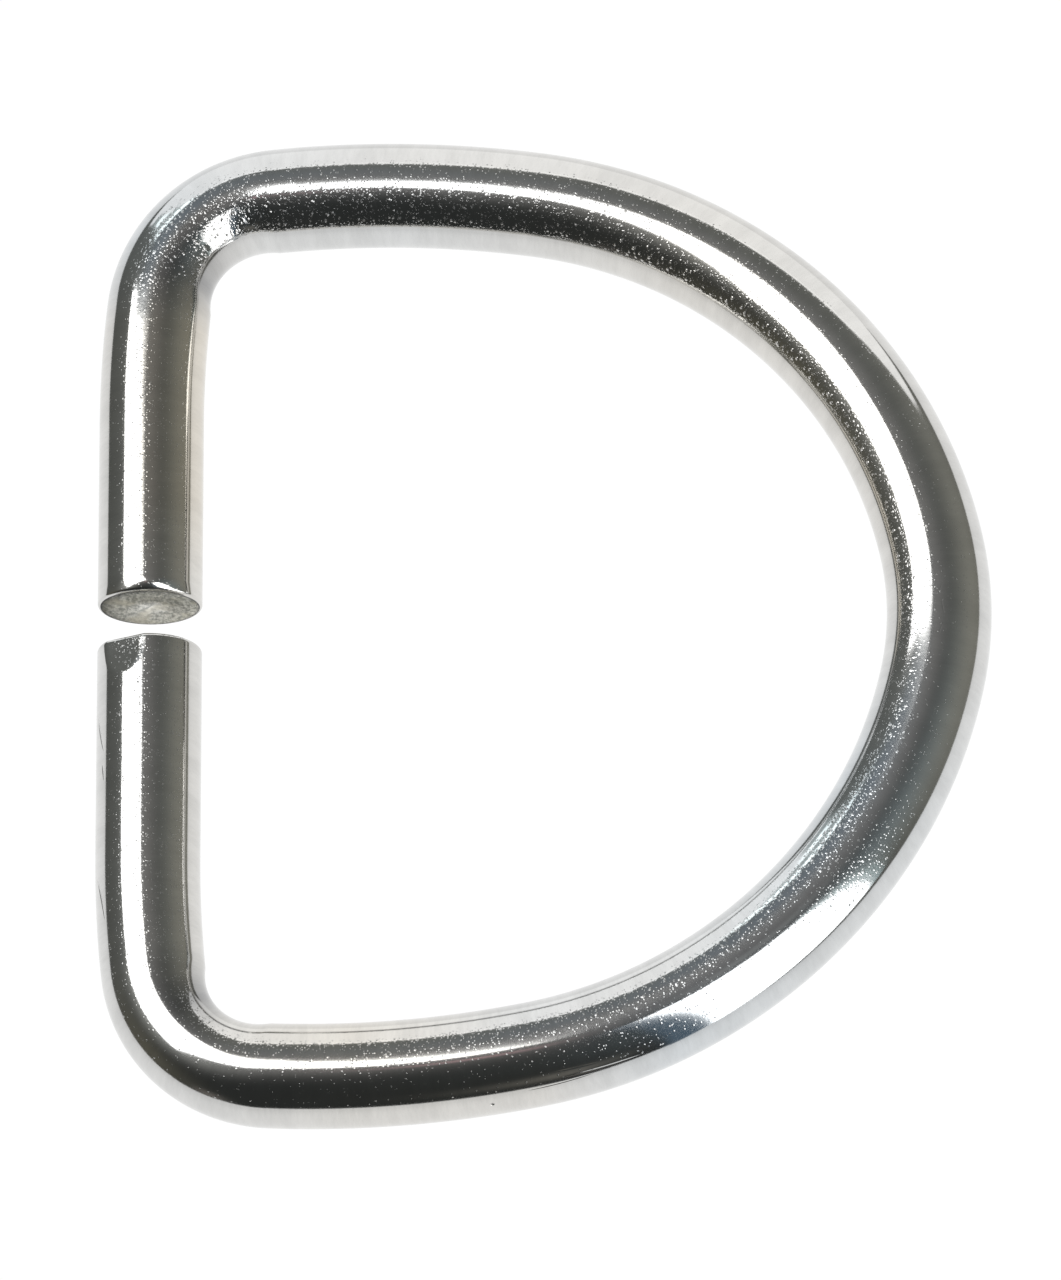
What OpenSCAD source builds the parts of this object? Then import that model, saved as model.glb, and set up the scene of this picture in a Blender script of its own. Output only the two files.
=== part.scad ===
// D ring bent from one length of round steel wire. Its two cut ends meet in the straight side and
// are left open. The ring lies flat: X runs from the straight side to the bow, Y along the straight
// side, and Z up. The origin is on the floor, under the centre of the ring's outline.

/* [Wire] */
// Diameter of the wire
wire_d = 4; // [3:0.1:5]
// Share of its diameter that the wire loses where its centreline is bent to a radius of one diameter
thinning = 0.01; // [0.005:0.005:0.04]

/* [Opening] */
// Inside width along the straight side, which is the width of the strap that it takes
inside_w = 31.75; // [29:0.25:35]
// Inside depth, from the straight side to the crown of the bow
inside_depth = 26.2; // [24:0.2:28]

/* [Bends] */
// Inside radius of the crown, the tightest part of the bow
crown_in_r = 11; // [9:0.5:13]
// Turn of the wire from the middle of the crown to its end, on each side
crown_deg = 12; // [8:1:16]
// Turn of the nearly straight shoulder between the bow and the corner
shoulder_deg = 14; // [11:1:18]
// Inside radius of the corner
corner_in_r = 2.8; // [2:0.1:4]
// Turn of the corner
corner_deg = 80; // [77:1:82]
// Inside radius of the gentle lead-in between the corner and the straight side
lead_in_r = 43; // [30:1:50]
// Turn of the lead-in
lead_deg = 6; // [4:0.5:8]
// Depth of the flat that the bending pin presses into the inner side of each corner
pin_flat = 0.3; // [0.1:0.05:0.5]

/* [Cut ends] */
// Width of the gap between the two cut ends
gap_w = 1.75; // [0.8:0.05:3]
// Distance of the gap's middle from the ring's middle line, towards the upper corner
gap_offset = 0.45; // [-1.5:0.05:1.5]
// Length along the wire of the edge rolled over by the shear, on the upper end
roll_l = 0.35; // [0.1:0.05:0.6]
// Depth of the rolled-over edge at the cut face
roll_depth = 0.15; // [0.05:0.05:0.3]
// Direction of the rolled-over edge round the wire, from the top towards the bow
roll_deg = 12; // [-40:1:40]
// Length along the wire of the nip mark left by the shear, on the lower end
nip_l = 1.4; // [0.6:0.1:2.4]
// Depth of the nip mark at the cut face
nip_depth = 0.2; // [0.05:0.05:0.4]
// Direction of the nip mark round the wire, from the top towards the outside
nip_deg = 22; // [-40:1:60]

/* [Hidden] */
wire_r = wire_d / 2;
// Half of the centreline's width, and its depth
half_w = inside_w / 2 + wire_r;
depth = inside_depth + wire_d;

// Angle, seen from each arc's own centre, at which the arc ends. The straight side starts at half a turn.
half_turn = 180;
corner_end = half_turn - lead_deg;
shoulder_end = corner_end - corner_deg;
bow_end = shoulder_end - shoulder_deg;

// Centreline radii that the sizes give
crown_r = crown_in_r + wire_r;
corner_r = corner_in_r + wire_r;
lead_r = lead_in_r + wire_r;

// What an arc of radius 1 adds to the half width, up to where the wire runs level, and to the depth
function rise(a, b) = sin(min(b, 90)) - sin(min(a, 90));
function reach(a, b) = cos(a) - cos(b);

// The bow and the shoulder take up the width and depth that the other arcs leave: two equations, two radii
rise_left = half_w - crown_r * rise(0, crown_deg) - corner_r * rise(shoulder_end, corner_end)
    - lead_r * rise(corner_end, half_turn);
reach_left = depth - crown_r * reach(0, crown_deg) - corner_r * reach(shoulder_end, corner_end)
    - lead_r * reach(corner_end, half_turn);
bow_rise = rise(crown_deg, bow_end);
bow_reach = reach(crown_deg, bow_end);
shoulder_rise = rise(bow_end, shoulder_end);
shoulder_reach = reach(bow_end, shoulder_end);
determinant = bow_rise * shoulder_reach - bow_reach * shoulder_rise;
bow_r = (rise_left * shoulder_reach - reach_left * shoulder_rise) / determinant;
shoulder_r = (reach_left * bow_rise - rise_left * bow_reach) / determinant;

// Arcs of one half, from the crown to the straight side: name, centreline radius, angle at the start, angle
// at the end. The crown is one arc across the middle line, so it starts below the line.
ARCS = [
    ["crown", crown_r, -crown_deg, crown_deg],
    ["bow", bow_r, crown_deg, bow_end],
    ["shoulder", shoulder_r, bow_end, shoulder_end],
    ["corner", corner_r, shoulder_end, corner_end],
    ["lead_in", lead_r, corner_end, half_turn],
];
function row(name) = search([name], ARCS)[0];
function radius(i) = ARCS[i][1];
function start_deg(i) = ARCS[i][2];
function end_deg(i) = ARCS[i][3];
CROWN = row("crown");
BOW = row("bow");
CORNER = row("corner");
LEAD_IN = row("lead_in");

// Centre of an arc. The first puts the crown's middle at the far end of the depth, and each next one
// lies on the line through the joint, so that neighbours are tangent.
crown_x = depth / 2;
function centre(i) = i == CROWN
    ? [crown_x - crown_r, 0]
    : centre(i - 1) + (radius(i - 1) - radius(i)) * [cos(start_deg(i)), sin(start_deg(i))];

// The wire thins where it is bent, and at each joint the tighter and thinner arc runs on a little way
// inside its gentler neighbour, so that the two are one solid.
joint_lap = 0.1;
function bent_d(r) = wire_d * (1 - thinning * wire_d / r);
function lap_deg(r) = joint_lap / r * half_turn / PI;
function tighter(i, j) = radius(i) < radius(j);

// The straight side: its centreline's place, where each leg starts, and how far from the middle line each
// is cut. The lower leg's distance is counted downwards.
leg_x = -depth / 2;
leg_start_y = centre(LEAD_IN)[1];
upper_cut_y = gap_w / 2 + gap_offset;
lower_cut_y = gap_w / 2 - gap_offset;

// Room by which a cutting block is larger than what it cuts
spare = 1;

$fn = 96;

module nickel() {
    color([0.74, 0.74, 0.72]) children();
}

// One arc of the wire, in the plane of the ring, lapped into a neighbour where it is the tighter of the two
module bend(i, lap_at_start, lap_at_end) {
    r = radius(i);
    from_deg = start_deg(i) - (lap_at_start ? lap_deg(r) : 0);
    to_deg = end_deg(i) + (lap_at_end ? lap_deg(r) : 0);
    translate(centre(i))
        rotate([0, 0, from_deg])
            rotate_extrude(angle = to_deg - from_deg)
                translate([r, 0])
                    circle(d = bent_d(r));
}

// The crown, across the ring's middle line
module crown() {
    bend(CROWN, tighter(CROWN, BOW), tighter(CROWN, BOW));
}

// Straight stretch from the lead-in to the cut end
module leg(cut_y) {
    translate([leg_x, cut_y, 0])
        rotate([-90, 0, 0])
            cylinder(d = wire_d, h = leg_start_y - cut_y);
}

// The bending pin, whose side presses the inner face of the corner flat
module bending_pin() {
    translate([each centre(CORNER), -wire_r - spare])
        cylinder(r = corner_in_r + pin_flat, h = wire_d + 2 * spare);
}

// A block over the cut end whose flat underside is mark_depth deep at the cut face and has left the wire
// mark_l further along it. It faces straight up, or is turned round the wire towards the bow.
module shear_mark(cut_y, mark_l, mark_depth, turn) {
    translate([leg_x, cut_y, 0])
        rotate([0, turn, 0])
            translate([0, 0, wire_r - mark_depth])
                rotate([atan2(mark_depth, mark_l), 0, 0])
                    translate([-wire_d, -spare, 0])
                        cube([2 * wire_d, mark_l + wire_d, wire_d]);
}

// The wire on the upper side of the ring's middle line, from the crown's end to the cut end
module half_wire(cut_y, mark_l, mark_depth, mark_turn) {
    difference() {
        union() {
            for (i = [BOW : LEAD_IN])
                bend(i, tighter(i, i - 1), i == LEAD_IN || tighter(i, i + 1));
            leg(cut_y);
        }
        bending_pin();
        shear_mark(cut_y, mark_l, mark_depth, mark_turn);
    }
}

// Upper half, with the rolled-over edge at its cut end
module upper_half() {
    half_wire(upper_cut_y, roll_l, roll_depth, roll_deg);
}

// Lower half, with the nip mark at its cut end
module lower_half() {
    mirror([0, 1, 0])
        half_wire(lower_cut_y, nip_l, nip_depth, -nip_deg);
}

// The whole ring, lifted so that the wire's underside is on the floor
module wire_ring() {
    nickel()
        translate([0, 0, wire_r]) {
            crown();
            upper_half();
            lower_half();
        }
}

wire_ring();
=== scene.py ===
"""A D ring bent from one length of nickel-plated steel wire, lying on a pale floor.

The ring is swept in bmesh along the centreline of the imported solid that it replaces, at the same place and
size. Sizes in the classes are in millimetres, as a ring maker gives them, and are made metres at the end.
"""
import logging
import math
from dataclasses import dataclass, field
from enum import Enum
from functools import cached_property

import bmesh
import bpy
from bmesh.types import BMEdge, BMFace, BMesh, BMVert
from mathutils import Matrix, Vector


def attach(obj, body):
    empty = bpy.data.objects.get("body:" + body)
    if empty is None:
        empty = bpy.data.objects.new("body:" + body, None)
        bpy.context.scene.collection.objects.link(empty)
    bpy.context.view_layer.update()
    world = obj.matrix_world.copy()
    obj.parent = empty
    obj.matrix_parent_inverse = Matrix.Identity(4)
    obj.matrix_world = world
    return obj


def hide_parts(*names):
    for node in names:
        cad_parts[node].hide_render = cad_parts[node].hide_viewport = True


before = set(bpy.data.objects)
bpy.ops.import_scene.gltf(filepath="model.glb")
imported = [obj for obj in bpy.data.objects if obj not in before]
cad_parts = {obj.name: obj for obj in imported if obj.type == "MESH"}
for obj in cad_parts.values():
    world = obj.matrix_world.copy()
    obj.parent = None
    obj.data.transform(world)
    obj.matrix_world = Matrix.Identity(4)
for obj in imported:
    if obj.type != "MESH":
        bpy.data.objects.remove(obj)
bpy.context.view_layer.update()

MM = 0.001
TINY_MM = 1e-6
log = logging.getLogger("d_ring")

Colour = tuple[float, float, float]
Socket = bpy.types.NodeSocket


class Surface(Enum):
    """Material slots of the wire, in order."""

    PLATED = 0
    SHEARED = 1


class Graph:
    """A thin wrapper round a node tree, so that a finish reads as a short list of steps."""

    def __init__(self, tree: bpy.types.NodeTree) -> None:
        """Empties the node tree of a material or a world."""
        self.tree = tree
        tree.nodes.clear()

    def node(self, kind: str, inputs: dict[str | int, object] | None = None,
             **settings: object) -> bpy.types.Node:
        """Adds a node.

        Args:
            kind: The node's type, without the ShaderNode in front.
            inputs: Values, or sockets to link, by the input's name or index.
            settings: Properties of the node itself.

        Returns:
            The new node.
        """
        made = self.tree.nodes.new("ShaderNode" + kind)
        for name, value in settings.items():
            setattr(made, name, value)
        for name, value in (inputs or {}).items():
            if isinstance(value, Socket):
                self.tree.links.new(value, made.inputs[name])
            else:
                made.inputs[name].default_value = value
        return made

    def math(self, operation: str, *values: object) -> Socket:
        """Adds a Math node.

        Args:
            operation: The operation's name, such as MULTIPLY.
            values: Its numbers or sockets, in order.

        Returns:
            The result's socket.
        """
        return self.node("Math", dict(enumerate(values)), operation=operation).outputs[0]

    def vector_math(self, operation: str, *values: object) -> bpy.types.Node:
        """Adds a Vector Math node.

        Args:
            operation: The operation's name, such as DOT_PRODUCT.
            values: Its vectors or sockets, in order.

        Returns:
            The new node.
        """
        return self.node("VectorMath", dict(enumerate(values)), operation=operation)

    def fade(self, value: object, low: float, high: float, out_low: float = 0.0,
             out_high: float = 1.0) -> Socket:
        """Maps a range smoothly onto another.

        Args:
            value: The socket to read.
            low: Where the range starts.
            high: Where it ends.
            out_low: The result at its start.
            out_high: The result at its end.

        Returns:
            The result's socket.
        """
        inputs = {0: value, 1: low, 2: high, 3: out_low, 4: out_high}
        return self.node("MapRange", inputs, interpolation_type="SMOOTHSTEP").outputs[0]

    def mix_colour(self, factor: object, first: object, second: object) -> Socket:
        """Mixes two colours.

        Args:
            factor: 0 for the first, 1 for the second.
            first: A colour or a socket.
            second: A colour or a socket.

        Returns:
            The mixed colour's socket.
        """
        return self.node("Mix", {0: factor, 6: first, 7: second}, data_type="RGBA").outputs[2]


def rgba(colour: Colour) -> tuple[float, float, float, float]:
    """Gives a colour its alpha."""
    return (*colour, 1.0)


def smooth(value: float, low: float, high: float) -> float:
    """Rises smoothly from 0 to 1 between two values."""
    share = min(1.0, max(0.0, (value - low) / (high - low)))
    return share * share * (3 - 2 * share)


def ahead(heading: float) -> Vector:
    """Gives the level direction of a heading, which is in radians from the X axis."""
    return Vector((math.cos(heading), math.sin(heading), 0))


def outward(heading: float) -> Vector:
    """Gives the level direction on the left of a heading, which points away from the ring's middle."""
    return Vector((-math.sin(heading), math.cos(heading), 0))


def grow_edges(bm: BMesh, edges: list[BMEdge], slot: int) -> tuple[list[BMVert], list[BMEdge]]:
    """Extrudes a row of edges, in place, into new faces.

    Args:
        bm: The mesh.
        edges: The row.
        slot: The material slot of the new faces.

    Returns:
        The points and the edges of the new row.
    """
    made = bmesh.ops.extrude_edge_only(bm, edges=edges)["geom"]
    points = [item for item in made if isinstance(item, BMVert)]
    row = [item for item in made if isinstance(item, BMEdge) and all(vert in points for vert in item.verts)]
    for item in made:
        if isinstance(item, BMFace):
            item.material_index = slot
    return points, row


def add_to_scene(name: str, bm: BMesh, materials: list[bpy.types.Material]) -> bpy.types.Object:
    """Turns a mesh into an object of the scene.

    Args:
        name: The name of the object and of its mesh.
        bm: The mesh, freed here.
        materials: The material of each slot.

    Returns:
        The object.
    """
    mesh = bpy.data.meshes.new(name)
    bm.to_mesh(mesh)
    bm.free()
    for material in materials:
        mesh.materials.append(material)
    made = bpy.data.objects.new(name, mesh)
    bpy.context.scene.collection.objects.link(made)
    return made


def new_material(name: str) -> tuple[bpy.types.Material, Graph]:
    """Makes a material of nodes.

    Args:
        name: The material's name.

    Returns:
        The material, and its graph with no node in it.
    """
    made = bpy.data.materials.new(name)
    made.use_nodes = True
    return made, Graph(made.node_tree)


@dataclass(frozen=True)
class Arc:
    """One bend of the wire's centreline on the upper side of the middle line, seen from its own centre."""

    radius: float
    start_deg: float
    end_deg: float


@dataclass(frozen=True)
class Stretch:
    """A stretch of the centreline, straight or bent, as it is swept.

    The sweep runs clockwise seen from above, from the upper cut end round to the lower one.
    """

    start: Vector
    heading: float
    length: float
    radius: float = math.inf

    def at(self, along: float) -> tuple[Vector, float]:
        """Gives a place on the stretch.

        Args:
            along: Distance from the start of the stretch.

        Returns:
            The point on the centreline, and the heading there in radians from the X axis.
        """
        if self.straight:
            return self.start + along * ahead(self.heading), self.heading
        turned = self.heading - along / self.radius
        return self.centre + self.radius * outward(turned), turned

    @property
    def straight(self) -> bool:
        """Whether the stretch is one of the two legs."""
        return math.isinf(self.radius)

    @property
    def end(self) -> tuple[Vector, float]:
        """Point and heading where the stretch ends."""
        return self.at(self.length)

    @property
    def centre(self) -> Vector:
        """Centre of the bend, on the right of the wire."""
        return self.start - self.radius * outward(self.heading)


@dataclass(frozen=True)
class ShearMark:
    """What the shear left at one cut end: an edge rolled over, or a flat nipped into the wire."""

    length: float
    depth: float
    direction_deg: float


@dataclass(frozen=True)
class SkinPoint:
    """Something about the wire's skin at one distance from the upper cut end, inside and outside the ring.

    The change between the two is at a place across the section, counted outwards.
    """

    along: float
    inner: float
    outer: float
    change: float = 0.15


def skin_points(*rows: tuple[float, ...]) -> tuple[SkinPoint, ...]:
    """Makes the points of a skin table from rows of their numbers."""
    return tuple(SkinPoint(*row) for row in rows)


@dataclass
class WireRing:
    """The ring: one wire bent to a D, whose two cut ends meet in the straight side."""

    # The wire and its bends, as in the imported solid
    wire_d: float = 4.0
    thinning: float = 0.01
    inside_w: float = 31.75
    inside_depth: float = 26.2
    crown_in_r: float = 11.0
    crown_deg: float = 12.0
    shoulder_deg: float = 14.0
    corner_in_r: float = 2.8
    corner_deg: float = 80.0
    lead_in_r: float = 43.0
    lead_deg: float = 6.0
    # How far the inner side of each corner is pressed in
    corner_flat: float = 0.25
    # The cut ends
    gap_w: float = 1.75
    gap_offset: float = 0.45
    roll: ShearMark = ShearMark(0.5, 0.16, 102.0)
    nip: ShearMark = ShearMark(1.5, 0.2, 64.0)
    nip_rounding: float = 0.03
    upper_rim_r: float = 0.1
    lower_rim_r: float = 0.18
    # The mesh, closer at the cut ends
    sides: int = 104
    span: float = 1.28
    end_span: float = 0.32
    end_zone: float = 2.0
    cuts: int = 5
    crowding: float = 1.6
    # Half the width over which the skin changes from inside to outside
    change_reach: float = 0.3
    # How high in the section the raised grain starts, and how much higher up it is full
    grain_from: tuple[SkinPoint, ...] = skin_points(
        (0, 1.3, 1.45), (11, 1.3, 1.5), (18, 1.05, 1.75), (38, 1.15, 1.75),
        (46, 1.35, 1.6), (54, 1.45, 1.3), (62, 1.65, 1.2), (70, 1.77, 1.1),
        (88, 1.78, 1.1), (93, 1.55, 1.15), (98, 1.3, 1.4), (109, 1.3, 1.45),
    )
    grain_rise: float = 0.12
    # How strongly the bending raised the grain
    grain: tuple[SkinPoint, ...] = skin_points(
        (0, 0.45, 0.25), (11, 0.45, 0.3), (13.5, 1.5, 0.7, -0.2), (15, 1.4, 0.7, -0.1),
        (17, 1.4, 0.6, -0.2), (19, 1.1, 0.35, -0.5), (26, 1.0, 0.35, -0.65), (32, 1.4, 0.35, -0.85),
        (36, 1.9, 0.3, -1.0), (52, 1.9, 0.25, -1.0), (54.5, 1.6, 0.25, -0.8), (56.5, 0.55, 0.2, -0.5),
        (60, 0.7, 0.35, -0.4), (66, 1.1, 0.6, -0.2), (68, 0.9, 0.25, -0.2), (72, 0.7, 0.3),
        (77, 0.75, 0.22, 0.0), (88, 0.7, 0.2, -0.2), (93, 0.7, 0.25, -0.2), (97, 0.5, 0.35),
        (107.2, 0.5, 0.35), (107.9, 0.6, 0.5, 0.3), (109, 0.6, 0.6, 0.0),
    )
    # Colour cast of the plate, warm above 0 and cool below
    cast: tuple[SkinPoint, ...] = skin_points(
        (0, 0.3, 0.1), (4, 1.0, 0.1), (11, 1.0, 0.2), (14, 0.3, -0.7),
        (18, -0.1, -0.2), (24, -0.2, 0.1), (36, 0.4, 0.3), (50, 0.3, 0.1),
        (56, 0.0, 0.0), (62, -0.8, -0.35), (68, -0.5, -0.35), (74, -0.1, -0.7),
        (79, -0.1, 0.3), (86, 0.7, 0.3), (91, 0.3, 0.0), (109, 0.2, 0.0),
    )
    # Painted shade inside the two corners: how far the plate's colour is darkened there
    painted_shade_and_dulling: tuple[SkinPoint, ...] = skin_points(
        (0, 0.0, 0.0), (11, 0.0, 0.0), (13.5, 1.0, 0.1, 0.0), (16, 0.3, 0.0, 0.0),
        (17.5, 0.0, 0.0), (91, 0.0, 0.0), (93.5, 1.0, 0.1, 0.0), (96.5, 0.0, 0.0),
        (109, 0.0, 0.0),
    )

    def arcs(self) -> list[Arc]:
        """Works out the bends of the upper half, from the crown to the straight side.

        The bow and the shoulder take up the width and depth that the other arcs leave.

        Returns:
            The five arcs, with the radius of the centreline.
        """
        wire_r = self.wire_d / 2
        corner_end = 180 - self.lead_deg
        shoulder_end = corner_end - self.corner_deg
        bow_end = shoulder_end - self.shoulder_deg
        crown = Arc(self.crown_in_r + wire_r, 0, self.crown_deg)
        corner = Arc(self.corner_in_r + wire_r, shoulder_end, corner_end)
        lead_in = Arc(self.lead_in_r + wire_r, corner_end, 180)

        def rise(start: float, end: float) -> float:
            """Adds to the half width, for a radius of 1, up to where the wire runs level."""
            return math.sin(math.radians(min(end, 90))) - math.sin(math.radians(min(start, 90)))

        def reach(start: float, end: float) -> float:
            """Adds to the depth, for a radius of 1."""
            return math.cos(math.radians(start)) - math.cos(math.radians(end))

        rise_left = self.inside_w / 2 + wire_r
        reach_left = self.inside_depth + self.wire_d
        for arc in (crown, corner, lead_in):
            rise_left -= arc.radius * rise(arc.start_deg, arc.end_deg)
            reach_left -= arc.radius * reach(arc.start_deg, arc.end_deg)
        bow_rise, bow_reach = rise(self.crown_deg, bow_end), reach(self.crown_deg, bow_end)
        shoulder_rise, shoulder_reach = rise(bow_end, shoulder_end), reach(bow_end, shoulder_end)
        determinant = bow_rise * shoulder_reach - bow_reach * shoulder_rise
        bow_r = (rise_left * shoulder_reach - reach_left * shoulder_rise) / determinant
        shoulder_r = (reach_left * bow_rise - rise_left * bow_reach) / determinant
        bow = Arc(bow_r, self.crown_deg, bow_end)
        shoulder = Arc(shoulder_r, bow_end, shoulder_end)
        return [crown, bow, shoulder, corner, lead_in]

    @cached_property
    def stretches(self) -> list[Stretch]:
        """The centreline, from the upper cut end to the lower one.

        Returns:
            The straight legs and the bends, each starting where the last one ends.
        """
        crown, *others = self.arcs()
        whole_crown = Arc(crown.radius, -crown.end_deg, crown.end_deg)
        upper_cut = self.gap_w / 2 + self.gap_offset
        lower_cut = self.gap_w / 2 - self.gap_offset
        start = Vector((-(self.inside_depth + self.wire_d) / 2, upper_cut, self.wire_d / 2))
        made = [Stretch(start, math.pi / 2, self.leg_start() - upper_cut)]
        for arc in (*reversed(others), whole_crown, *others):
            length = arc.radius * math.radians(arc.end_deg - arc.start_deg)
            made.append(Stretch(*made[-1].end, length, arc.radius))
        made.append(Stretch(*made[-1].end, self.leg_start() - lower_cut))
        return made

    def leg_start(self) -> float:
        """Adds up how far the arcs carry their centres from the middle line.

        Returns:
            The distance from the middle line at which the legs meet the lead-ins.
        """
        arcs = self.arcs()
        carried = 0.0
        for arc, following in zip(arcs, arcs[1:]):
            carried += (arc.radius - following.radius) * math.sin(math.radians(arc.end_deg))
        return carried

    def bend_share(self, along: float) -> tuple[float, float]:
        """Gives how the wire is bent at a place.

        Args:
            along: Distance from the upper cut end.

        Returns:
            The curvature, smoothed over a wire's half diameter, and the place in the corner bend, 0 to 1,
            or -1 outside a corner.
        """
        window = self.wire_d / 4
        turned = self.point_at(along - window)[1] - self.point_at(along + window)[1]
        in_corner = -1.0
        start = 0.0
        for stretch in self.stretches:
            if abs(stretch.radius - self.corner_in_r - self.wire_d / 2) < TINY_MM:
                share = (along - start) / stretch.length
                if 0 <= share <= 1:
                    in_corner = share
            start += stretch.length
        return turned / (2 * window), in_corner

    def build(self) -> bpy.types.Object:
        """Sweeps the wire, shapes its ends and dresses it.

        Returns:
            The finished piece, at the origin and in metres.
        """
        bm = bmesh.new()
        place = bm.verts.layers.float_vector.new("wire_mm")
        raised = bm.verts.layers.float.new("raised_grain")
        cast = bm.verts.layers.float.new("warm_cast")
        painted_shade_and_dulling = bm.verts.layers.float.new("painted_shade_and_dulling")
        self.straighten(bm, place, self.sweep(bm))
        self.refine(bm, place)
        self.close_ends(bm)
        self.shape(bm, place)
        for vert in bm.verts:
            along, across, up = vert[place]
            start = self.skin_at(self.grain_from, along, across)
            share = smooth(up, start, start + self.grain_rise)
            vert[raised] = self.skin_at(self.grain, along, across) * share
            vert[cast] = self.skin_at(self.cast, along, across)
            # Painted shade inside the two corners, darkening the plate's colour there
            vert[painted_shade_and_dulling] = self.skin_at(self.painted_shade_and_dulling, along, across)
        bmesh.ops.recalc_face_normals(bm, faces=bm.faces)
        bmesh.ops.scale(bm, vec=(MM, MM, MM), verts=bm.verts)
        for face in bm.faces:
            face.smooth = True
        finishes = [PlatedNickel().material(), ShearedSteel().material()]
        return add_to_scene("wire_ring_plated", bm, finishes)

    def sweep(self, bm: BMesh) -> list[float]:
        """Spins and extrudes a round section along the whole centreline, in long spans.

        Args:
            bm: The mesh, empty so far.

        Returns:
            The distance along the wire of each ring of vertices, in the order in which they were made.
        """
        upright = Matrix.Rotation(-math.pi / 2, 4, "X")
        cut_face = Matrix.Translation(self.stretches[0].start) @ upright
        bmesh.ops.create_circle(bm, segments=self.sides, radius=self.wire_d / 2, matrix=cut_face)
        front: list[BMVert | BMEdge] = list(bm.verts) + list(bm.edges)
        distances = [0.0]
        for index, stretch in enumerate(self.stretches):
            runs = [(stretch.length, self.span)]
            if stretch.straight:
                runs = [(stretch.length - self.end_zone, self.span), (self.end_zone, self.end_span)]
            if index == 0:
                runs.reverse()
            for length, span in runs:
                steps = math.ceil(length / span)
                made = bmesh.ops.spin(
                    bm, geom=front, steps=steps, axis=(0, 0, 1),
                    cent=Vector() if stretch.straight else stretch.centre,
                    dvec=ahead(stretch.heading) * (length / steps) if stretch.straight else Vector(),
                    angle=0.0 if stretch.straight else -length / stretch.radius,
                )
                front = made["geom_last"]
                distances += [distances[-1] + length / steps * step for step in range(1, steps + 1)]
        return distances

    def straighten(self, bm: BMesh, place: object, distances: list[float]) -> None:
        """Writes each vertex's place on the straightened wire: how far along, across and up it is.

        Args:
            bm: The swept tube.
            place: The layer that keeps the place, in millimetres.
            distances: The distance along the wire of each ring.
        """
        for index, vert in enumerate(bm.verts):
            along = distances[index // self.sides]
            centre, heading = self.point_at(along)
            offset = vert.co - centre
            vert[place] = (along, offset.dot(outward(heading)), offset.z)

    def refine(self, bm: BMesh, place: object) -> None:
        """Cuts the long spans into short ones. Their places on the straightened wire are shared out evenly.

        Args:
            bm: The swept tube.
            place: The layer with the place on the straightened wire.
        """
        lengthwise = [
            edge for edge in bm.edges
            if abs(edge.verts[0][place].x - edge.verts[1][place].x) > self.end_span / 2
        ]
        bmesh.ops.subdivide_edges(bm, edges=lengthwise, cuts=self.cuts)

    def close_ends(self, bm: BMesh) -> None:
        """Closes both cut ends with faces of sheared steel, which meet in the middle and have a sharp rim.

        Args:
            bm: The tube, open at both ends.
        """
        rims = [edge for edge in bm.edges if edge.is_boundary]
        for edge in rims:
            edge.smooth = False
        for upper in (True, False):
            rim = [edge for edge in rims if (edge.verts[0].co.y > self.gap_offset) == upper]
            caps = bmesh.ops.contextual_create(bm, geom=rim)["faces"]
            for face in bmesh.ops.poke(bm, faces=caps)["faces"]:
                face.material_index = Surface.SHEARED.value

    def shape(self, bm: BMesh, place: object) -> None:
        """Bends the wire true, thins it in its bends, flattens its corners inside and works the cut ends.

        Args:
            bm: The closed tube.
            place: The layer with the place on the straightened wire.
        """
        total = sum(stretch.length for stretch in self.stretches)
        bends: dict[float, tuple[Vector, Vector, float, float]] = {}
        for vert in bm.verts:
            along, across, up = vert[place]
            along = self.crowd(along, total)
            key = round(along, 5)
            if key not in bends:
                centre, heading = self.point_at(along)
                curvature, corner = self.bend_share(along)
                scale = 1 - self.thinning * self.wire_d * curvature
                flat = 0.0
                if corner >= 0:
                    flat = 2 * self.corner_flat / self.wire_d * math.sin(math.pi * corner)
                bends[key] = (centre, outward(heading), scale, flat)
            centre, side, scale, flat = bends[key]
            vert[place] = (along, across, up)
            across *= scale * (1 - flat if across < 0 else 1)
            up *= scale
            inset = self.end_inset(along, total - along, across, up)
            vert.co = centre + (across - inset.x) * side + Vector((0, 0, up - inset.y))

    def crowd(self, along: float, total: float) -> float:
        """Draws the rings near the cut ends towards the cut faces, where the rims need them.

        Args:
            along: Distance from the upper cut end.
            total: Length of the wire.

        Returns:
            The new distance.
        """
        for start, sign in ((0.0, 1), (total, -1)):
            share = (along - start) * sign / self.end_zone
            if 0 <= share < 1:
                return start + sign * self.end_zone * share ** self.crowding
        return along

    def skin_at(self, points: tuple[SkinPoint, ...], along: float, across: float) -> float:
        """Reads something about the skin between the points at which it is given.

        Args:
            points: The points, in order along the wire.
            along: Distance from the upper cut end.
            across: Place in the section, outwards from the ring.

        Returns:
            The value there.
        """
        before, after = points[0], points[-1]
        for first, second in zip(points, points[1:]):
            if first.along <= along <= second.along:
                before, after = first, second
        share = (along - before.along) / (after.along - before.along)
        inner = before.inner + (after.inner - before.inner) * share
        outer = before.outer + (after.outer - before.outer) * share
        change = before.change + (after.change - before.change) * share
        outside = smooth(across, change - self.change_reach, change + self.change_reach)
        return inner + (outer - inner) * outside

    def point_at(self, along: float) -> tuple[Vector, float]:
        """Finds a place on the centreline, held at its ends.

        Args:
            along: Distance from the upper cut end.

        Returns:
            The point and the heading there.
        """
        left = max(along, 0.0)
        for stretch in self.stretches:
            if left <= stretch.length + TINY_MM:
                return stretch.at(left)
            left -= stretch.length
        return self.stretches[-1].end

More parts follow.
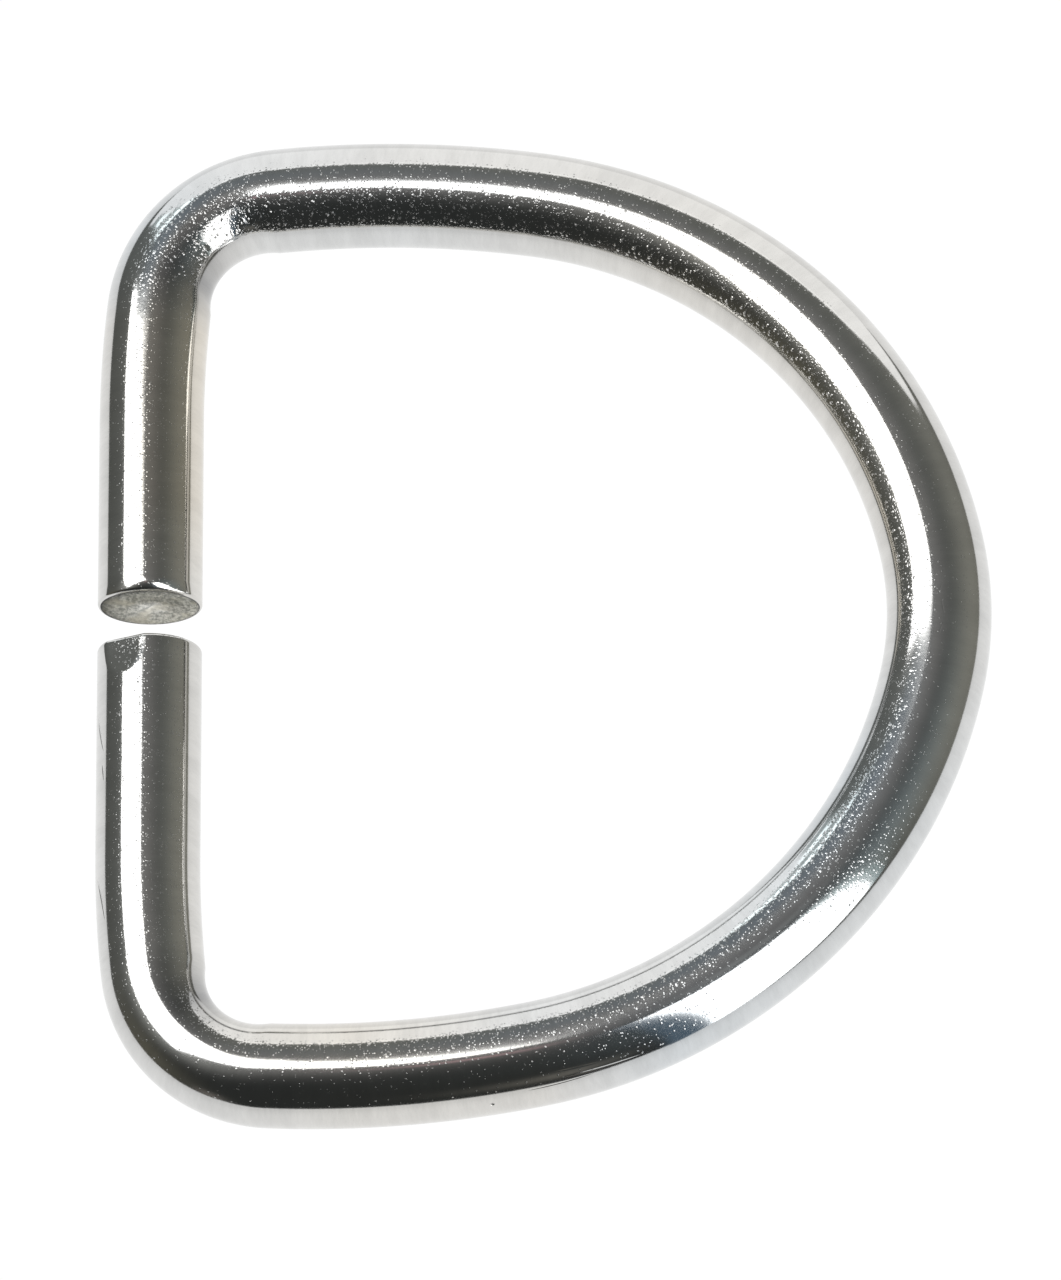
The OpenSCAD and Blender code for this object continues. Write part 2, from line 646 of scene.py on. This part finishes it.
    def end_inset(self, from_upper: float, from_lower: float, across: float, up: float) -> Vector:
        """Works out how far the shear moved the wire's skin inwards near a cut end.

        The middle points of the cut faces, far inside the skin, stay where they are.

        Args:
            from_upper: Distance from the upper cut face.
            from_lower: Distance from the lower cut face.
            across: Place in the section, outwards from the ring.
            up: Place in the section, upwards.

        Returns:
            The move towards the wire's middle, across and up.
        """
        inset = Vector((0, 0))
        from_middle = Vector((across, up))
        if from_middle.length < self.wire_d / 4:
            return inset
        direction = from_middle.normalized()
        for nearest, rim_r in ((from_upper, self.upper_rim_r), (from_lower, self.lower_rim_r)):
            if nearest < rim_r:
                share = 1 - nearest / rim_r
                inset += direction * rim_r * (1 - math.sqrt(max(0.0, 1 - share * share)))
        if from_upper < self.roll.length:
            turn = math.radians(self.roll.direction_deg)
            facing = max(0.0, direction.dot(Vector((math.cos(turn), math.sin(turn)))))
            share = 1 - from_upper / self.roll.length
            inset += direction * self.roll.depth * facing ** 2 * share ** 2
        if from_lower < self.nip.length:
            turn = math.radians(self.nip.direction_deg)
            normal = Vector((math.cos(turn), math.sin(turn)))
            floor_at = self.wire_d / 2 - self.nip.depth * (1 - (from_lower / self.nip.length) ** 2)
            above = from_middle.dot(normal) - floor_at
            if above > self.nip_rounding:
                inset += normal * above
            elif above > -self.nip_rounding:
                inset += normal * (above + self.nip_rounding) ** 2 / (4 * self.nip_rounding)
        return inset


@dataclass(frozen=True)
class Pimples:
    """Small domes scattered over the plate, in millimetres.

    The first ones come where the grain is raised by one strength, and the last ones by the other, each
    within the onset. Growth says how far their height follows that strength, from 0 to 1. Lowest is the
    share of the height that the smallest ones have.
    """

    spacing: float
    radius: float
    height: float
    first: float
    last: float
    growth: float
    onset: float = 0.1
    lowest: float = 0.3

    def build(self, graph: Graph, place: Socket, raised: Socket) -> tuple[Socket, Socket]:
        """Scatters the domes.

        Args:
            graph: The material's nodes.
            place: The place on the straightened wire.
            raised: How strongly the bending raised the grain.

        Returns:
            The height in millimetres, and where the domes are, from 0 round them to 1 on top.
        """
        cells = graph.node("TexVoronoi", {"Vector": place, "Scale": 1 / self.spacing, "Randomness": 1.0})
        chances = graph.node("SeparateColor", {0: cells.outputs["Color"]}).outputs
        needed = graph.math("MULTIPLY_ADD", chances[1], self.last - self.first, self.first)
        there = graph.fade(graph.math("SUBTRACT", raised, needed), 0.0, self.onset)
        swelling = graph.fade(cells.outputs["Distance"], self.radius / self.spacing, 0.0)
        dome = graph.math("MULTIPLY", swelling, there)
        low = self.lowest * self.height
        size = graph.math("MULTIPLY_ADD", chances[0], self.height - low, low)
        growth = graph.math("MULTIPLY_ADD", raised, self.growth, 1 - self.growth)
        return graph.math("MULTIPLY", dome, graph.math("MULTIPLY", size, growth)), dome


@dataclass(frozen=True)
class Mark:
    """A scratch, a dent or, with a depth below 0, a raised strip of the plate, in millimetres."""

    along: float
    turn_deg: float
    length: float
    width: float
    depth: float
    lean_deg: float = 0.0
    bow: float = 0.0

    def build(self, graph: Graph, unrolled: Socket, skin_r: float) -> Socket:
        """Presses the mark.

        Args:
            graph: The material's nodes.
            unrolled: The place on the unrolled skin: distance along the wire, and round it.
            skin_r: Radius of the wire.

        Returns:
            The mark's height in millimetres, below 0 where it is pressed in.
        """
        own = graph.node("Mapping", {
            "Vector": unrolled,
            "Location": (self.along, math.radians(self.turn_deg) * skin_r, 0.0),
            "Rotation": (0.0, 0.0, math.radians(self.lean_deg)),
            "Scale": (self.length / 2, self.width / 2, 1.0),
        }, vector_type="TEXTURE")
        parts = graph.node("SeparateXYZ", {0: own.outputs[0]}).outputs
        bent = graph.math("MULTIPLY", graph.math("MULTIPLY", parts[0], parts[0]), 2 * self.bow / self.width)
        beside = graph.math("SUBTRACT", parts[1], bent)
        straightened = graph.node("CombineXYZ", {0: parts[0], 1: beside}).outputs[0]
        distance = graph.vector_math("LENGTH", straightened).outputs["Value"]
        return graph.fade(distance, 1.0, 0.0, 0.0, -self.depth)


@dataclass(frozen=True)
class PlatedNickel:
    """Bright nickel plate over drawn steel wire, with the fine pimples and draw lines that plating keeps.

    Spacings and heights are in millimetres. A stretch is how much longer than wide a pattern is drawn out.
    """

    colour: Colour = (0.66, 0.66, 0.65)
    warm: Colour = (0.70, 0.66, 0.59)
    cool: Colour = (0.62, 0.66, 0.69)
    # The colour of the painted shade inside the corners, also given to the pimples to make them duller
    shaded_and_dulled: Colour = (0.36, 0.36, 0.36)
    # The colour of the deepest parts of the marks, and the depth below which they darken
    deep_mark_dark: Colour = (0.04, 0.04, 0.035)
    dark_below: float = 0.03
    roughness: float = 0.1
    fine: Pimples = Pimples(0.1, 0.046, 0.0055, 0.0, 0.8, 0.0)
    coarse: Pimples = Pimples(0.19, 0.085, 0.0135, 0.2, 1.7, 1.0)
    pimple_roughness: float = 0.42
    pimple_dulling: float = 0.5
    grain_spacing: float = 0.13
    grain_height: float = 0.0015
    peel_spacing: float = 3.0
    peel_height: float = 0.0006
    draw_spacing: float = 0.16
    draw_height: float = 0.0003
    draw_stretch: float = 50.0
    mottle: float = 0.07
    mottle_density: float = 1.3
    mottle_stretch: float = 5.0
    mottle_range: tuple[float, float] = (0.25, 0.75)
    skin_r: float = 2.0
    marks: tuple[Mark, ...] = (
        Mark(105.28, 29.3, 2.3, 0.15, 0.024, -19.0, 0.06),
        Mark(103.6, 37.3, 0.9, 0.12, 0.016, -10.0),
        Mark(98.72, 32.5, 2.4, 0.14, 0.024, -18.0, -0.13),
        Mark(80.82, 18.0, 0.22, 0.17, 0.08),
        Mark(53.8, 84.0, 0.6, 0.07, 0.0028, 20.0),
        Mark(54.5, 81.0, 0.7, 0.07, 0.0035, -12.0),
        Mark(55.4, 82.0, 0.6, 0.07, 0.0030, 15.0),
        Mark(76.6, 36.0, 3.6, 0.12, 0.006, 2.0),
        Mark(78.4, 31.0, 2.8, 0.09, 0.006, -2.0),
        Mark(77.6, 45.0, 1.8, 0.08, 0.005, 3.0),
        Mark(39.0, 78.0, 16.0, 1.5, -0.012),
        Mark(15.3, 131.0, 0.7, 0.6, 0.02),
        Mark(17.6, 128.0, 0.5, 0.7, 0.015),
    )

    def material(self) -> bpy.types.Material:
        """Builds the material.

        Returns:
            A procedural metal that reads the place on the straightened wire.
        """
        made, graph = new_material("bright_nickel")
        place = graph.node("Attribute", attribute_name="wire_mm").outputs["Vector"]
        raised = graph.node("Attribute", attribute_name="raised_grain").outputs["Fac"]
        cast = graph.node("Attribute", attribute_name="warm_cast").outputs["Fac"]
        fine_height, fine_dome = self.fine.build(graph, place, raised)
        coarse_height, coarse_dome = self.coarse.build(graph, place, raised)
        marks = self.pressed(graph, place)
        height = graph.math("ADD", self.skin(graph, place, raised), marks)
        height = graph.math("ADD", height, graph.math("ADD", fine_height, coarse_height))
        bump = graph.node("Bump", {"Strength": 1.0, "Distance": MM, "Height": height})
        dull = graph.math("MAXIMUM", fine_dome, coarse_dome)
        roughness = graph.math("MULTIPLY_ADD", dull, self.pimple_roughness - self.roughness, self.roughness)
        colour = graph.mix_colour(graph.math("MAXIMUM", cast, 0.0), rgba(self.colour), rgba(self.warm))
        colour = graph.mix_colour(graph.math("MAXIMUM", graph.math("MULTIPLY", cast, -1.0), 0.0), colour,
                                  rgba(self.cool))
        # Painted shade inside the two corners, joined with the dulling of the pimples, darkens the plate's
        # colour
        painted_shade_and_dulling = graph.node("Attribute", attribute_name="painted_shade_and_dulling").outputs["Fac"]
        painted_shade_and_dulling = graph.math("MAXIMUM", painted_shade_and_dulling, graph.math("MULTIPLY", dull, self.pimple_dulling))
        colour = graph.mix_colour(painted_shade_and_dulling, colour, rgba(self.shaded_and_dulled))
        # Nearly black where a mark is pressed in deeply
        deep_mark_dark = graph.fade(marks, -self.dark_below, -2 * self.dark_below)
        colour = graph.mix_colour(deep_mark_dark, colour, rgba(self.deep_mark_dark))
        squeezed = 1 / self.mottle_stretch
        across_wire = graph.node("Mapping", {"Vector": place, "Scale": (1.0, squeezed, squeezed)})
        stain = graph.node("TexNoise", {
            "Vector": across_wire.outputs[0], "Scale": self.mottle_density, "Detail": 4.0,
            "Roughness": 0.75,
        })
        stain = graph.fade(stain.outputs["Fac"], *self.mottle_range, 1 - self.mottle, 1 + self.mottle)
        colour = graph.vector_math("SCALE", colour)
        graph.tree.links.new(stain, colour.inputs["Scale"])
        metal = graph.node("BsdfPrincipled", {
            "Base Color": colour.outputs["Vector"], "Metallic": 1.0, "Roughness": roughness,
            "Normal": bump.outputs[0],
        })
        graph.node("OutputMaterial", {"Surface": metal.outputs[0]})
        return made

    def skin(self, graph: Graph, place: Socket, raised: Socket) -> Socket:
        """Adds up the relief of the plate without its pimples and marks, in millimetres.

        Args:
            graph: The material's nodes.
            place: The place on the straightened wire.
            raised: How strongly the bending raised the grain.

        Returns:
            The height's socket.
        """
        grain = graph.node("TexNoise", {"Vector": place, "Scale": 1 / self.grain_spacing, "Detail": 1.0})
        height = graph.math("MULTIPLY", raised, self.grain_height)
        grain = graph.math("MULTIPLY", grain.outputs["Fac"], height)
        peel = graph.node("TexNoise", {"Vector": place, "Scale": 1 / self.peel_spacing, "Detail": 0.0})
        peel = graph.math("MULTIPLY", peel.outputs["Fac"], self.peel_height)
        along_wire = graph.node("Mapping", {"Vector": place, "Scale": (1 / self.draw_stretch, 1.0, 1.0)})
        draw = graph.node("TexNoise", {
            "Vector": along_wire.outputs[0], "Scale": 1 / self.draw_spacing, "Detail": 2.0,
        })
        draw = graph.math("MULTIPLY", draw.outputs["Fac"], self.draw_height)
        return graph.math("ADD", grain, graph.math("ADD", peel, draw))

    def pressed(self, graph: Graph, place: Socket) -> Socket:
        """Adds up the marks in the plate, in millimetres.

        Args:
            graph: The material's nodes.
            place: The place on the straightened wire.

        Returns:
            The height's socket.
        """
        height: object = 0.0
        parts = graph.node("SeparateXYZ", {0: place}).outputs
        turned = graph.math("MULTIPLY", graph.math("ARCTAN2", parts[2], parts[1]), self.skin_r)
        unrolled = graph.node("CombineXYZ", {0: parts[0], 1: turned}).outputs[0]
        for mark in self.marks:
            height = graph.math("ADD", height, mark.build(graph, unrolled, self.skin_r))
        return height


@dataclass(frozen=True)
class ShearedSteel:
    """The raw face that the shear left: dull, with streaks and warm patches, and darker along its rim.

    It is shaded as if it leaned upwards, by the slope lean at its rim. A range is where in its noise a
    pattern starts and where it is full, and a density is its noise's scale.
    """

    colour: Colour = (0.97, 0.96, 0.91)
    dark: Colour = (0.42, 0.42, 0.39)
    warm: Colour = (0.80, 0.76, 0.64)
    rim: Colour = (0.30, 0.30, 0.31)
    rim_from: float = 1.88
    skin_r: float = 2.0
    streak_scales: Colour = (1.0, 3.6, 2.6)
    streak_density: float = 1.3
    streak_range: tuple[float, float] = (0.35, 0.65)
    patch_density: float = 0.9
    patch_range: tuple[float, float] = (0.45, 0.7)
    patch_warmth: float = 0.6
    roughness: float = 0.36
    metallic: float = 0.85
    relief: float = 0.03
    lean: float = 1.02

    def material(self) -> bpy.types.Material:
        """Builds the material.

        Returns:
            A dull procedural metal.
        """
        made, graph = new_material("sheared_steel")
        place = graph.node("Attribute", attribute_name="wire_mm").outputs["Vector"]
        flat = graph.node("Mapping", {"Vector": place, "Scale": (0.0, 1.0, 1.0)}).outputs[0]
        stretched = graph.node("Mapping", {"Vector": place, "Scale": self.streak_scales}).outputs[0]
        streaks = graph.node("TexNoise", {
            "Vector": stretched, "Scale": self.streak_density, "Detail": 3.0, "Roughness": 0.75,
        }).outputs["Fac"]
        patches = graph.node("TexNoise", {"Vector": place, "Scale": self.patch_density, "Detail": 2.0})
        lightness = graph.fade(streaks, *self.streak_range)
        shade = graph.mix_colour(lightness, rgba(self.dark), rgba(self.colour))
        warmth = graph.fade(patches.outputs["Fac"], *self.patch_range, 0.0, self.patch_warmth)
        shade = graph.mix_colour(warmth, shade, rgba(self.warm))
        out = graph.vector_math("LENGTH", flat).outputs["Value"]
        shade = graph.mix_colour(graph.fade(out, self.rim_from, self.skin_r), shade, rgba(self.rim))
        plain = graph.node("NewGeometry").outputs["True Normal"]
        leaning = graph.vector_math("ADD", plain, (0.0, 0.0, self.lean)).outputs["Vector"]
        leaning = graph.vector_math("NORMALIZE", leaning).outputs["Vector"]
        normal = graph.mix_colour(graph.math("DIVIDE", out, self.skin_r), plain, leaning)
        bump = graph.node("Bump", {
            "Strength": 1.0, "Distance": self.relief * MM, "Height": streaks, "Normal": normal,
        })
        metal = graph.node("BsdfPrincipled", {
            "Base Color": shade, "Metallic": self.metallic, "Roughness": self.roughness,
            "Normal": bump.outputs[0],
        })
        graph.node("OutputMaterial", {"Surface": metal.outputs[0]})
        return made


def glowing(name: str, colour: Colour) -> bpy.types.Material:
    """Makes a material that only gives light.

    Args:
        name: The material's name.
        colour: The light's colour, times its brightness.

    Returns:
        The material.
    """
    made, graph = new_material(name)
    glow = graph.node("Emission", {"Color": rgba(colour), "Strength": 1.0})
    graph.node("OutputMaterial", {"Surface": glow.outputs[0]})
    return made


def stand_on_stage(name: str, bm: BMesh, colours: list[Colour]) -> bpy.types.Object:
    """Turns a mesh into a light that the ring mirrors and that the camera doesn't see.

    Args:
        name: The object's name.
        bm: The mesh, freed here.
        colours: The light of each material slot.

    Returns:
        The object, which is part of the stage.
    """
    glows = [glowing(f"{name}_{index}", colour) for index, colour in enumerate(colours)]
    light = add_to_scene(name, bm, glows)
    light.visible_camera = False
    return light


@dataclass(frozen=True)
class LightPanel:
    """A flat softbox, or a strip of its frame, given by its corners in metres."""

    name: str
    corners: tuple[tuple[float, float, float], ...]
    colour: Colour

    def build(self) -> bpy.types.Object:
        """Makes the panel.

        Returns:
            The panel, on the stage.
        """
        bm = bmesh.new()
        corners = [bm.verts.new(corner) for corner in self.corners]
        bmesh.ops.contextual_create(bm, geom=corners)
        return stand_on_stage(self.name, bm, [self.colour])


@dataclass(frozen=True)
class Card:
    """An upright card that curves round the ring at one distance, given by the directions that it fills."""

    name: str
    azimuths: tuple[float, float]
    elevations: tuple[float, float]
    colour: Colour
    distance: float = 2.0
    step_deg: float = 10.0

    def build(self) -> bpy.types.Object:
        """Makes the card.

        Returns:
            The card, on the stage.
        """
        bm = bmesh.new()
        start = Matrix.Rotation(math.radians(self.azimuths[0]), 3, "Z")
        ends = []
        for elevation in self.elevations:
            height = self.distance * math.tan(math.radians(elevation))
            ends.append(bm.verts.new(start @ Vector((self.distance, 0, height))))
        side = bm.edges.new(ends)
        span = self.azimuths[1] - self.azimuths[0]
        bmesh.ops.spin(
            bm, geom=[*ends, side], cent=(0, 0, 0), axis=(0, 0, 1), angle=math.radians(span),
            steps=math.ceil(span / self.step_deg),
        )
        return stand_on_stage(self.name, bm, [self.colour])


@dataclass(frozen=True)
class Backdrop:
    """A low white wall behind the stage, folded twice, lower on the right and brighter along its top edge.

    The plan and the height of the top go from left to right, one for each corner.
    """

    plan: tuple[tuple[float, float], ...] = ((-2.264, 2.528), (-0.264, 0.528), (0.34, 0.58), (2.34, 2.58))
    foot: float = -0.2
    tops: tuple[float, ...] = (0.43, 0.43, 0.28, 0.28)
    rim_height: float = 0.04
    colour: Colour = (1.13, 1.13, 1.13)
    rim_colour: Colour = (1.4, 1.4, 1.4)

    def build(self) -> bpy.types.Object:
        """Makes the backdrop.

        Returns:
            The backdrop, on the stage.
        """
        bm = bmesh.new()
        foot = [bm.verts.new((x, y, self.foot)) for x, y in self.plan]
        row = [bm.edges.new(pair) for pair in zip(foot, foot[1:])]
        for slot, below_top in enumerate((self.rim_height, 0.0)):
            points, row = grow_edges(bm, row, slot)
            for vert in points:
                vert.co.z = self.top_over(vert.co.xy) - below_top
        return stand_on_stage("backdrop", bm, [self.colour, self.rim_colour])

    def top_over(self, place: Vector) -> float:
        """Gives the height of the top over the nearest corner of the plan."""
        corners = zip(self.plan, self.tops)
        return min(corners, key=lambda corner: (place - Vector(corner[0])).length)[1]


@dataclass(frozen=True)
class WhiteSheet:
    """The lit sheet under the clear stage, dimmer towards its edges, which the ring mirrors from below."""

    outline: tuple[tuple[float, float], ...] = (
        (-0.66, 0.60), (-1.0, 0.35), (-1.25, -0.2), (-1.4, -2.4), (0.90, -2.4), (0.90, 0.15), (0.60, 0.62),
    )
    depth: float = 0.2
    middle_glow: float = 0.98
    edge_glow: float = 0.84
    reach: float = 1.1

    def build(self) -> bpy.types.Object:
        """Makes the sheet.

        Returns:
            The sheet, on the stage.
        """
        bm = bmesh.new()
        corners = [bm.verts.new((x, y, -self.depth)) for x, y in self.outline]
        bmesh.ops.contextual_create(bm, geom=corners)
        sheet = stand_on_stage("white_sheet", bm, [(1.0, 1.0, 1.0)])
        graph = Graph(sheet.data.materials[0].node_tree)
        place = graph.node("TexCoord").outputs["Object"]
        distance = graph.vector_math("LENGTH", place).outputs["Value"]
        strength = graph.fade(distance, self.depth, self.reach, self.middle_glow, self.edge_glow)
        glow = graph.node("Emission", {"Color": rgba((1.0, 1.0, 1.0)), "Strength": strength})
        graph.node("OutputMaterial", {"Surface": glow.outputs[0]})
        return sheet


@dataclass(frozen=True)
class Glow:
    """A soft patch of light in the dim room round the stage."""

    azimuth_deg: float
    elevation_deg: float
    tightness: float
    colour: Colour

    @property
    def direction(self) -> Vector:
        """Unit vector towards the patch. The azimuth is counted from the X axis towards the Y axis."""
        level = math.cos(math.radians(self.elevation_deg)) * ahead(math.radians(self.azimuth_deg))
        return level + Vector((0, 0, math.sin(math.radians(self.elevation_deg))))


@dataclass
class Studio:
    """The pale floor, the light panels round and under it, and the dim room that the ring mirrors."""

    floor_size: float = 30.0
    floor_white: float = 1.02
    room_base: Colour = (0.030, 0.032, 0.031)
    panels: list[LightPanel | Card | Backdrop | WhiteSheet] = field(default_factory=lambda: [
        LightPanel("softbox_overhead", (
            (-2.44, 1.55, 1.6), (-2.35, 1.22, 1.6), (-1.745, -0.073, 1.6), (-1.313, -0.528, 1.6),
            (-0.059, 0.008, 1.6), (-0.27, 0.595, 1.6), (-1.25, 0.905, 1.6),
        ), (3.0, 3.0, 3.0)),
        LightPanel("softbox_near", (
            (0.067, -0.119, 0.45), (0.183, -0.088, 0.45), (0.615, -0.304, -0.06), (0.266, -0.396, -0.06),
        ), (3.0, 3.0, 3.0)),
        LightPanel("softbox_near_left_frame", (
            (0.048, -0.116, 0.45), (0.067, -0.119, 0.45), (0.266, -0.396, -0.06), (0.216, -0.427, -0.06),
        ), (0.10, 0.14, 0.18)),
        LightPanel("softbox_near_right_frame", (
            (0.183, -0.088, 0.45), (0.196, -0.078, 0.45), (0.647, -0.274, -0.06), (0.615, -0.304, -0.06),
        ), (0.38, 0.46, 0.46)),
        Backdrop(),
        WhiteSheet(),
        Card("window_surround", (118, 132), (3, 31), (0.44, 0.48, 0.475), 1.5),
        Card("window_upper_pane", (118, 131.5), (30.5, 36.5), (1.9, 2.05, 2.05), 1.45),
        Card("window_lower_pane", (121.5, 131), (12.5, 21), (1.7, 1.82, 1.82), 1.45),
    ])
    glows: list[Glow] = field(default_factory=lambda: [
        Glow(14, 2, 4.0, (0.22, 0.215, 0.185)),
        Glow(110, 81, 11.0, (0.12, 0.112, 0.115)),
        Glow(108, 18, 1.2, (0.144, 0.148, 0.139)),
        Glow(180, 54, 16.0, (0.40, 0.40, 0.38)),
        Glow(-161, 0, 10.0, (0.084, 0.077, 0.056)),
        Glow(-78, 12, 110.0, (0.12, 0.113, 0.10)),
        Glow(-24, 40, 8.0, (0.107, 0.132, 0.143)),
        Glow(-126, 0, 130.0, (0.12, 0.107, 0.098)),
        Glow(-15, 78.5, 220.0, (0.123, 0.125, 0.121)),
        Glow(-108, 82, 1500.0, (0.35, 0.20, 0.22)),
        Glow(122, 50, 30.0, (0.02, 0.04, 0.07)),
    ])

    def build(self) -> None:
        """Makes the floor, the panels and the room."""
        self.floor()
        for panel in self.panels:
            panel.build()
        self.room()

    def floor(self) -> None:
        """Lays the floor, which is plain white to the camera and clear to the ring above it."""
        bm = bmesh.new()
        bmesh.ops.create_grid(bm, x_segments=1, y_segments=1, size=self.floor_size / 2)
        floor = add_to_scene("floor", bm, [glowing("white_floor", (self.floor_white,) * 3)])
        floor.visible_glossy = False
        floor.visible_diffuse = False

    def room(self) -> None:
        """Fills the surroundings with a dim room, and shows the camera a pale one."""
        world = bpy.data.worlds.new("studio")
        bpy.context.scene.world = world
        world.use_nodes = True
        graph = Graph(world.node_tree)
        direction = graph.node("TexCoord").outputs["Generated"]
        colour: object = rgba(self.room_base)
        for glow in self.glows:
            facing = graph.vector_math("DOT_PRODUCT", direction, glow.direction).outputs["Value"]
            share = graph.math("POWER", graph.math("MAXIMUM", facing, 0.0), glow.tightness)
            added = graph.node("Mix", {0: share, 6: colour, 7: rgba(glow.colour)},
                               data_type="RGBA", blend_type="ADD")
            colour = added.outputs[2]
        dim = graph.node("Background", {"Color": colour, "Strength": 1.0})
        pale = graph.node("Background", {"Color": rgba((1.0, 1.0, 1.0)), "Strength": self.floor_white})
        to_camera = graph.node("LightPath").outputs["Is Camera Ray"]
        both = graph.node("MixShader", {0: to_camera, 1: dim.outputs[0], 2: pale.outputs[0]})
        graph.node("OutputWorld", {"Surface": both.outputs[0]})


@dataclass(frozen=True)
class PhotoCamera:
    """The photograph's camera, a long lens looking steeply down from near the lower right of the ring."""

    azimuth_deg: float = 15.504
    elevation_deg: float = 68.749
    roll_deg: float = -16.44
    distance: float = 795.7
    target: tuple[float, float, float] = (-0.508, -0.544, 2.0)
    lens: float = 588.14
    sensor: float = 36.0
    clip: tuple[float, float] = (0.01, 100.0)

    def build(self) -> bpy.types.Object:
        """Makes the camera and hands it to the scene.

        Returns:
            The camera.
        """
        azimuth = math.radians(self.azimuth_deg)
        elevation = math.radians(self.elevation_deg)
        level = math.cos(elevation)
        back = Vector((math.sin(azimuth) * level, -math.cos(azimuth) * level, math.sin(elevation)))
        data = bpy.data.cameras.new("photo_camera")
        data.lens = self.lens
        data.sensor_width = self.sensor
        data.clip_start, data.clip_end = self.clip
        camera = bpy.data.objects.new("photo_camera", data)
        bpy.context.scene.collection.objects.link(camera)
        facing = back.to_track_quat("Z", "Y").to_matrix().to_4x4()
        roll = Matrix.Rotation(math.radians(self.roll_deg), 4, "Z")
        place = (Vector(self.target) + back * self.distance) * MM
        camera.matrix_world = Matrix.Translation(place) @ facing @ roll
        bpy.context.scene.camera = camera
        return camera


def main() -> None:
    """Builds the camera, the studio and the ring, in that order."""
    logging.basicConfig(level=logging.INFO, format="%(name)s: %(message)s")
    bpy.context.scene.view_settings.view_transform = "Standard"
    PhotoCamera().build()
    Studio().build()
    ring = WireRing().build()
    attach(ring, "root")
    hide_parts("wire_ring")
    log.info("piece %s: %d vertices, %d faces", ring.name, len(ring.data.vertices), len(ring.data.polygons))


if __name__ == "__main__":
    main()
